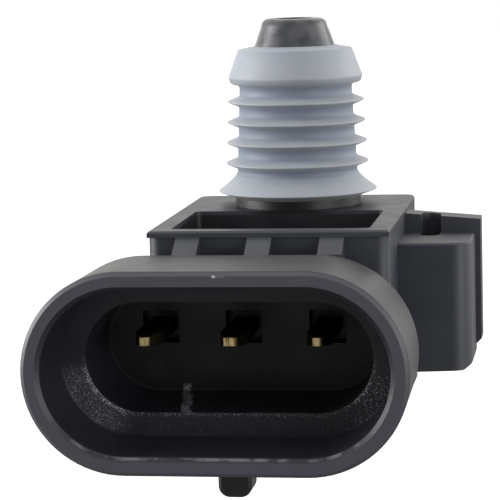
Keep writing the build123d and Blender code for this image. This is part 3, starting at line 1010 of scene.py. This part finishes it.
@dataclass
class PortSeal:
    """The grey silicone sleeve: skirt, core, four sharp ribs and the tapered top band.

    The hem, the band's foot and the crown are rings set off from the size they stand beside. A rib's flank
    is a list of heights under its tip with the share of the rib's reach at each.
    """

    sides: int = 128
    smooth_angle: float = 50.0
    round_steps: int = 5
    base_z: float = 0.55
    top_z: float = 10.6
    bore: float = 2.3
    foot_radius: float = 4.2
    skirt_radius: float = 5.3
    skirt_z: float = 0.98
    skirt_edge: float = 0.06
    skirt_arc: tuple[float, float] = (-70.0, 60.0)
    hem: float = 0.03
    flare_top: float = 2.2
    flare_steps: int = 8
    flare_power: float = 1.35
    core_radius: float = 3.73
    core_draft: float = 0.3
    rib_reach: float = 0.77
    first_rib: float = 2.83
    rib_pitch: float = 1.37
    rib_count: int = 4
    rib_flank: tuple[tuple[float, float], ...] = (
        (-0.42, 0.0), (-0.33, 0.1), (-0.25, 0.32), (-0.15, 0.66), (-0.07, 0.92), (-0.03, 0.99),
    )
    band_low: float = 8.1
    band_radius: float = 4.47
    band_round: float = 0.2
    band_arc: tuple[float, float] = (-25.0, 20.0)
    band_fillet: tuple[tuple[float, float], ...] = ((0.03, -0.2), (0.16, -0.06))
    band_foot: tuple[tuple[float, float], ...] = ((-0.22, 0.02), (-0.09, 0.12))
    band_wide: float = 8.55
    band_top_radius: float = 3.85
    band_top: float = 10.35
    band_top_round: float = 0.16
    band_top_arc: tuple[float, float] = (25.0, 80.0)
    band_top_drop: float = 0.1
    crown_radius: float = 2.7
    crown_width: float = 0.3
    crown_drop: float = 0.06
    finishes: Finishes = field(default_factory=Finishes)

    def build(self) -> list[bpy.types.Object]:
        """Build the sleeve ring by ring from its profile.

        Returns:
            The sleeve, dressed and riding on the body.
        """
        rings = self.profile()
        pick_nothing()
        first_radius, first_z = rings[0]
        bpy.ops.mesh.primitive_circle_add(
            vertices=self.sides, radius=first_radius * MM, location=(0.0, 0.0, first_z * MM)
        )
        sleeve = bpy.context.object
        sleeve.name = sleeve.data.name = "silicone_sleeve"
        bpy.ops.object.mode_set(mode="EDIT")
        bpy.ops.mesh.select_all(action="SELECT")
        radius, height = first_radius, first_z
        for next_radius, next_height in rings[1:]:
            bpy.ops.mesh.extrude_edges_move(
                TRANSFORM_OT_translate={"value": (0.0, 0.0, (next_height - height) * MM)}
            )
            share = next_radius / radius
            bpy.ops.transform.resize(value=(share, share, 1.0), center_override=(0.0, 0.0, next_height * MM))
            radius, height = next_radius, next_height
        bpy.ops.mesh.select_all(action="SELECT")
        bpy.ops.mesh.remove_doubles(threshold=MERGE_DISTANCE)
        bpy.ops.mesh.normals_make_consistent(inside=False)
        bpy.ops.object.mode_set(mode="OBJECT")
        bpy.ops.object.transform_apply(location=True, rotation=True, scale=True)
        bpy.ops.object.shade_smooth_by_angle(angle=math.radians(self.smooth_angle))
        dress(sleeve, self.finishes.seal)
        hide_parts("port_seal")
        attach(sleeve, "root")
        return [sleeve]

    def profile(self) -> list[tuple[float, float]]:
        """List the sleeve's rings as radius and height, from the bore's foot round to the bore again.

        Returns:
            Rings in millimetres, with soft rounds on the skirt, the ribs and the band.
        """
        rings = [(self.bore, self.base_z), (self.foot_radius, self.base_z)]
        skirt_middle = (self.skirt_radius - self.skirt_edge, self.skirt_z)
        rings += self._round(skirt_middle, self.skirt_edge, self.skirt_arc)
        rings += self._flare()
        for index in range(self.rib_count):
            rings += self._rib(self.first_rib + index * self.rib_pitch)
        rings += [(self.core_radius + out, self.band_low + up) for out, up in self.band_fillet]
        rings += [(self.band_radius + out, self.band_low + up) for out, up in self.band_foot]
        band_middle = (self.band_radius - self.band_round, self.band_wide)
        rings += self._round(band_middle, self.band_round, self.band_arc)
        top_middle = (self.band_top_radius - self.band_top_round, self.band_top - self.band_top_drop)
        rings += self._round(top_middle, self.band_top_round, self.band_top_arc)
        rings += [(self.crown_radius + self.crown_width, self.top_z - self.crown_drop)]
        rings += [(self.crown_radius, self.top_z)]
        rings += [(self.bore, self.top_z), (self.bore, self.base_z)]
        return rings

    def _round(
        self, middle: tuple[float, float], size: float, arc: tuple[float, float]
    ) -> list[tuple[float, float]]:
        """List the rings of one rounded edge.

        Args:
            middle: Distance of the round's middle from the port axis, and its height.
            size: Radius of the round.
            arc: First and last angle in degrees, 0 pointing outwards and 90 upwards.

        Returns:
            Rings in millimetres.
        """
        (radius, height), (start, end) = middle, arc
        last = self.round_steps - 1
        angles = [math.radians(start + (end - start) * i / last) for i in range(self.round_steps)]
        return [(radius + size * math.cos(a), height + size * math.sin(a)) for a in angles]

    def _core(self, height: float) -> float:
        """Give the core's radius at a height: the core widens from the band down to the flare."""
        down = (self.band_low - height) / (self.band_low - self.flare_top)
        return self.core_radius + self.core_draft * down

    def _flare(self) -> list[tuple[float, float]]:
        """List the rings of the hollow curve that rises from the skirt's edge to the core.

        Returns:
            Rings in millimetres.
        """
        low, high = self.skirt_z + self.skirt_edge, self.flare_top
        outer, inner = self.skirt_radius - self.hem, self._core(self.flare_top)
        shares = [step / self.flare_steps for step in range(1, self.flare_steps + 1)]
        return [
            (inner + (outer - inner) * (1 - share) ** self.flare_power, low + (high - low) * share)
            for share in shares
        ]

    def _rib(self, middle: float) -> list[tuple[float, float]]:
        """List the rings of one sharp rib with a soft tip and hollow flanks.

        Args:
            middle: Height of the rib's tip.

        Returns:
            Rings in millimetres.
        """
        upper_flank = tuple((-up, out) for up, out in reversed(self.rib_flank))
        return [
            (self._core(middle + up) + self.rib_reach * out, middle + up)
            for up, out in self.rib_flank + upper_flank
        ]


@dataclass
class BladeTerminals:
    """The plug socket's three plated blades. Angles are in degrees and the round in millimetres."""

    flat_angle: float = 2.0
    edge_angle: float = 25.0
    edge_round: float = 0.07
    edge_segments: int = 2
    smooth_angle: float = 40.0
    finishes: Finishes = field(default_factory=Finishes)

    def build(self, frame: dict) -> list[bpy.types.Object]:
        """Round the edges of each blade and dress it.


        Returns:
            The three blades.
        """
        blades = []
        for side in ("left", "middle", "right"):
            blade = copy_node(frame["nodes"][f"terminal_{side}"], f"blade_{side}")
            self._round_edges(blade)
            dress(blade, self.finishes.terminal)
            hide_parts(f"terminal_{side}")
            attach(blade, "root")
            blades.append(blade)
        return blades

    def _round_edges(self, blade: bpy.types.Object) -> None:
        """Give the sheared edges their small round.

        Args:
            blade: The blade's piece.
        """
        pick_only(blade)
        bpy.ops.object.mode_set(mode="EDIT")
        bpy.ops.mesh.select_all(action="SELECT")
        bpy.ops.mesh.dissolve_limited(angle_limit=math.radians(self.flat_angle))
        bpy.ops.object.mode_set(mode="OBJECT")
        edge = blade.modifiers.new("sheared_edges", "BEVEL")
        edge.width = self.edge_round * MM
        edge.segments = self.edge_segments
        edge.limit_method = "ANGLE"
        edge.angle_limit = math.radians(self.edge_angle)
        apply_modifiers(blade)
        bpy.ops.object.shade_smooth_by_angle(angle=math.radians(self.smooth_angle))


@dataclass
class InnerParts:
    """The lid and the electronics, which keep their CAD shapes and get their finishes."""

    finishes: Finishes = field(default_factory=Finishes)

    def dress_all(self, frame: dict) -> list[bpy.types.Object]:
        """Give every carried-over CAD node its finish.


        Returns:
            The dressed nodes.
        """
        f = self.finishes
        chosen = {
            "lid": f.lid,
            "lid_sealant": f.sealant,
            "vent_membrane": f.membrane,
            "circuit_board": f.board,
            "board_adhesive": f.adhesive,
            "cell_ring": f.cell,
            "ring_adhesive": f.adhesive,
            "die_adhesive": f.adhesive,
            "sensing_die": f.silicon,
            "protective_gel": f.gel,
            "bond_wires": f.wire,
            "signal_chip": f.chip,
            "chip_leads": f.tin,
            "end_caps": f.tin,
            "solder_joints": f.tin,
            "housing": f.housing,
            "port_seal": f.seal,
            "terminal_left": f.terminal,
            "terminal_middle": f.terminal,
            "terminal_right": f.terminal,
        }
        chosen |= {f"capacitor_{number}": f.capacitor for number in range(1, 5)}
        chosen |= {f"resistor_{number}": f.resistor for number in range(1, 4)}
        for name, finish in chosen.items():
            dress(frame["nodes"][name], finish)
        return [frame["nodes"][name] for name in chosen]


@dataclass(frozen=True)
class Lamp:
    """One soft square lamp, with its place in millimetres and its power in watts."""

    name: str
    place: Triple
    power: float


@dataclass
class Studio:
    """The pale floor, the soft lamps, the white surround and the camera.

    Lengths are in millimetres and angles in degrees. Each glow has an axis, where along it the light
    starts and is full, and its strength.
    """

    floor_z: float = -24.0
    floor_size: float = 1600.0
    floor_colour: str = "#8c8c8c"
    floor_glow: float = 0.9
    camera_place: tuple[float, float, float] = (20.72, -148.85, 17.655)
    yaw: float = 9.20
    pitch: float = 7.87
    roll: float = 1.54
    lens_pixels: float = 2244.7
    image_pixels: float = 500.0
    sensor_width: float = 36.0
    nearest: float = 10.0
    farthest: float = 10000.0
    lamps: tuple[Lamp, ...] = (
        Lamp("left_box", (-330.0, -60.0, 60.0), 1.45),
        Lamp("right_box", (280.0, -200.0, 20.0), 0.68),
        Lamp("rear_box", (250.0, 150.0, 60.0), 0.24),
    )
    lamp_size: float = 200.0
    lamp_target: Triple = (0.0, -10.0, 0.0)
    surround_colour: str = "#fffdf8"
    seen_colour: str = "#ffffff"
    ambient: float = 0.25
    glows: tuple[tuple[str, float, float, float], ...] = (
        ("Y", 0.0, 0.6, 0.75), ("Z", 0.3, 0.9, 0.7), ("X", -0.3, -0.9, 0.42), ("X", 0.6, 1.0, 1.2),
    )

    def build(self) -> None:
        """Build the whole studio."""
        self._floor()
        self._world()
        for lamp in self.lamps:
            self._hang(lamp)
        self._camera()
        bpy.context.scene.view_settings.view_transform = "Standard"

    def _floor(self) -> None:
        """Lay the pale floor, which shows white to the camera and keeps the shadow."""
        pick_nothing()
        bpy.ops.mesh.primitive_plane_add(size=self.floor_size * MM, location=(0.0, 0.0, self.floor_z * MM))
        floor = bpy.context.object
        floor.name = "studio_floor"
        bpy.ops.object.transform_apply(location=True, rotation=True, scale=True)
        made = bpy.data.materials.new("white_sweep")
        made.use_nodes = True
        tree = made.node_tree
        tree.nodes.clear()
        paper = add_node(tree, "ShaderNodeBsdfDiffuse", {"Color": linear(self.floor_colour)}).outputs["BSDF"]
        glow = add_node(tree, "ShaderNodeEmission", {"Strength": self.floor_glow}).outputs["Emission"]
        white = add_node(tree, "ShaderNodeAddShader", links={0: paper, 1: glow}).outputs["Shader"]
        seen = add_node(tree, "ShaderNodeLightPath").outputs["Is Camera Ray"]
        shown = add_node(tree, "ShaderNodeMixShader", links={0: seen, 1: paper, 2: white}).outputs["Shader"]
        under = add_node(tree, "ShaderNodeNewGeometry").outputs["Backfacing"]
        clear = add_node(tree, "ShaderNodeBsdfTransparent").outputs["BSDF"]
        sided = add_node(tree, "ShaderNodeMixShader", links={0: under, 1: shown, 2: clear}).outputs["Shader"]
        add_node(tree, "ShaderNodeOutputMaterial", links={"Surface": sided})
        floor.data.materials.append(made)

    def _world(self) -> None:
        """Surround the sensor with plain white for the camera, and with light from behind and above."""
        world = bpy.data.worlds.new("white_surround")
        bpy.context.scene.world = world
        world.use_nodes = True
        tree = world.node_tree
        tree.nodes.clear()
        path = add_node(tree, "ShaderNodeLightPath")
        seen = add_node(
            tree, "ShaderNodeMath", {"operation": "MAXIMUM"},
            {0: path.outputs["Is Camera Ray"], 1: path.outputs["Is Transmission Ray"]},
        ).outputs[0]
        place = add_node(tree, "ShaderNodeTexCoord").outputs["Generated"]
        around = None
        for axis, start, full, level in self.glows:
            along = add_node(tree, "ShaderNodeSeparateXYZ", links={0: place}).outputs[axis]
            glow = add_node(tree, "ShaderNodeMapRange", {1: start, 2: full, 4: level}, {0: along}).outputs[0]
            added: dict[str | int, object] = {"operation": "ADD"}
            links = {0: glow}
            if around is None:
                added[1] = self.ambient
            else:
                links[1] = around
            around = add_node(tree, "ShaderNodeMath", added, links).outputs[0]
        strength = add_node(tree, "ShaderNodeMath", {"operation": "MAXIMUM"}, {0: around, 1: seen}).outputs[0]
        tones = {"data_type": "RGBA", 6: linear(self.surround_colour), 7: linear(self.seen_colour)}
        tone = add_node(tree, "ShaderNodeMix", tones, {0: seen}).outputs[2]
        sky = add_node(tree, "ShaderNodeBackground", links={"Color": tone, "Strength": strength})
        add_node(tree, "ShaderNodeOutputWorld", links={"Surface": sky.outputs["Background"]})

    def _hang(self, lamp: Lamp) -> None:
        """Hang one lamp so that it looks at the sensor.

        Args:
            lamp: The lamp.
        """
        data = bpy.data.lights.new(lamp.name, "AREA")
        data.shape = "SQUARE"
        data.size = self.lamp_size * MM
        data.energy = lamp.power
        hung = bpy.data.objects.new(lamp.name, data)
        bpy.context.scene.collection.objects.link(hung)
        hung.location = Vector(lamp.place) * MM
        hung.rotation_mode = "QUATERNION"
        hung.rotation_quaternion = (Vector(lamp.place) - Vector(self.lamp_target)).to_track_quat("Z", "Y")

    def _camera(self) -> None:
        """Set the camera where the photograph was taken from."""
        yaw, pitch, roll = (math.radians(a) for a in (self.yaw, self.pitch, self.roll))
        ahead = Vector((
            -math.sin(yaw) * math.cos(pitch), math.cos(yaw) * math.cos(pitch), -math.sin(pitch),
        ))
        level = Vector((math.cos(yaw), math.sin(yaw), 0.0))
        upright = level.cross(ahead)
        right = level * math.cos(roll) - upright * math.sin(roll)
        up = upright * math.cos(roll) + level * math.sin(roll)
        turn = Matrix((right, up, -ahead)).transposed().to_4x4()
        data = bpy.data.cameras.new("photo_camera")
        data.sensor_width = self.sensor_width
        data.lens = self.lens_pixels / self.image_pixels * self.sensor_width
        data.clip_start = self.nearest * MM
        data.clip_end = self.farthest * MM
        camera = bpy.data.objects.new("photo_camera", data)
        bpy.context.scene.collection.objects.link(camera)
        camera.matrix_world = Matrix.Translation(Vector(self.camera_place) * MM) @ turn
        bpy.context.scene.camera = camera


def main() -> None:
    """Build the sensor's looks in order, then its studio."""
    logging.basicConfig(level=logging.INFO, format="%(name)s: %(message)s")
    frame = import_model()
    pieces: list[bpy.types.Object] = []
    pieces += InnerParts().dress_all(frame)
    pieces += MouldedHousing().build(frame)
    pieces += PortSeal().build()
    pieces += BladeTerminals().build(frame)
    for piece in pieces:
        log.info("%s has %d faces", piece.name, len(piece.data.polygons))
    Studio().build()


if __name__ == "__main__":
    main()
